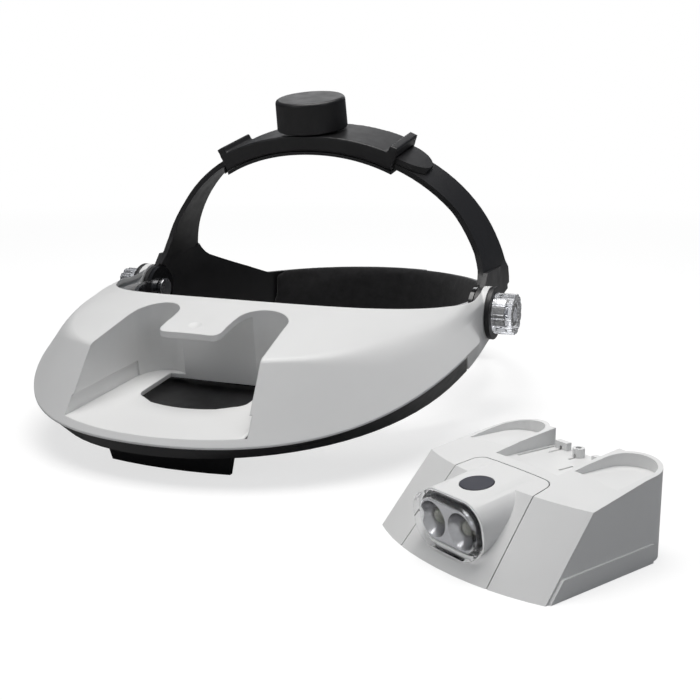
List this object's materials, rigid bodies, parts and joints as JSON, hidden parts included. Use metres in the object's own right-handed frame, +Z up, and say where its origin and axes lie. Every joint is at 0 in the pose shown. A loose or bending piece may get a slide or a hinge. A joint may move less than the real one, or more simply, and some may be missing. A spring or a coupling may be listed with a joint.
{
  "type": "lighted headband magnifier",
  "caption": "White headband visor with padded harness, crown knob, flip-down lens and a plug-in lamp unit lying beside it",
  "frame": {"origin": "on the table, under the middle of the temple pivot axis, which lies 42 mm above it", "axes": "+X to the right seen from the front, +Y to the back of the head, +Z up"},
  "size_m": [0.2753, 0.3155, 0.1349],
  "materials": {
    "white_shell": "semi-gloss moulded, fine grain",
    "black_plastic": "satin moulded",
    "black_gloss": "polished moulded",
    "clear_lens": "clear moulded optic",
    "clear_knob": "clear moulded",
    "foam_fabric": "napped cloth over foam",
    "steel": "plated",
    "dark_screw": "blackened",
    "brass": "machined",
    "reflector_chrome": "bright metallised",
    "led_resin": "clear resin",
    "board": "solder mask",
    "cell_wrap": "printed sleeve, plain",
    "button_plastic": "satin"
  },
  "bodies": {
    "harness": {"forehead_band": "black_gloss", "forehead_pad": "foam_fabric", "harness_left": "black_plastic", "harness_right": "black_plastic", "nape_rivets": "dark_screw", "nape_pad": "foam_fabric", "pivot_stud_left": "steel", "pivot_stud_right": "steel", "crown_sleeve": "black_plastic", "sleeve_base": "black_plastic", "lamp_housing": "white_shell", "lamp_panel": "white_shell", "lamp_base": "white_shell", "base_screws": "dark_screw", "lamp_lens": "clear_lens", "reflector": "reflector_chrome", "leds": "led_resin", "led_board": "board", "switch_body": "black_plastic", "battery_tray": "black_plastic", "battery_front": "cell_wrap", "battery_rear": "cell_wrap", "contact_springs": "steel", "contact_plates": "steel", "door_hinge_pin": "steel"},
    "visor": {"visor_shell": "white_shell", "lower_frame": "black_plastic", "frame_screws": "dark_screw", "lens_bracket": "black_plastic", "bracket_screws": "dark_screw", "lens_hinge_pin": "steel", "pivot_disc_left": "black_plastic", "pivot_disc_right": "black_plastic"},
    "lens": {"lens_carrier": "black_gloss", "lens_plate": "clear_lens"},
    "crown_adjuster": {"crown_knob": "black_plastic", "crown_pinion": "white_shell", "crown_screw": "steel"},
    "knob_left": {"pivot_knob_left": "clear_knob", "knob_insert_left": "brass"},
    "knob_right": {"pivot_knob_right": "clear_knob", "knob_insert_right": "brass"},
    "button": {"push_button": "button_plastic"},
    "door": {"battery_door": "white_shell"}
  },
  "joints": [
    {"name": "visor_tilt", "type": "hinge", "parent": "harness", "child": "visor", "pos_m": [0, 0, 0.042], "axis": [-1, 0, 0], "range_deg": [0, 60]},
    {"name": "lens_flip", "type": "hinge", "parent": "visor", "child": "lens", "pos_m": [0, -0.1124, 0.0086], "axis": [-1, 0, 0], "range_deg": [0, 95]},
    {"name": "crown_turn", "type": "hinge", "parent": "harness", "child": "crown_adjuster", "pos_m": [-0.0037, 0.01443, 0.11365], "axis": [0, -0.1942, 0.981], "continuous": true},
    {"name": "knob_turn_left", "type": "hinge", "parent": "harness", "child": "knob_left", "pos_m": [-0.09, 0, 0.042], "axis": [-1, 0, 0], "continuous": true},
    {"name": "knob_turn_right", "type": "hinge", "parent": "harness", "child": "knob_right", "pos_m": [0.09, 0, 0.042], "axis": [1, 0, 0], "continuous": true},
    {"name": "button_press", "type": "slide", "parent": "harness", "child": "button", "axis": [0.0744, 0.1176, -0.9903], "range_m": [0, 0.001], "stiffness_N_per_m": 400},
    {"name": "door_open", "type": "hinge", "parent": "harness", "child": "door", "pos_m": [0.13554, -0.15024, 0.0017], "axis": [-0.8453, 0.5344, 0], "range_deg": [0, 95]}
  ]
}
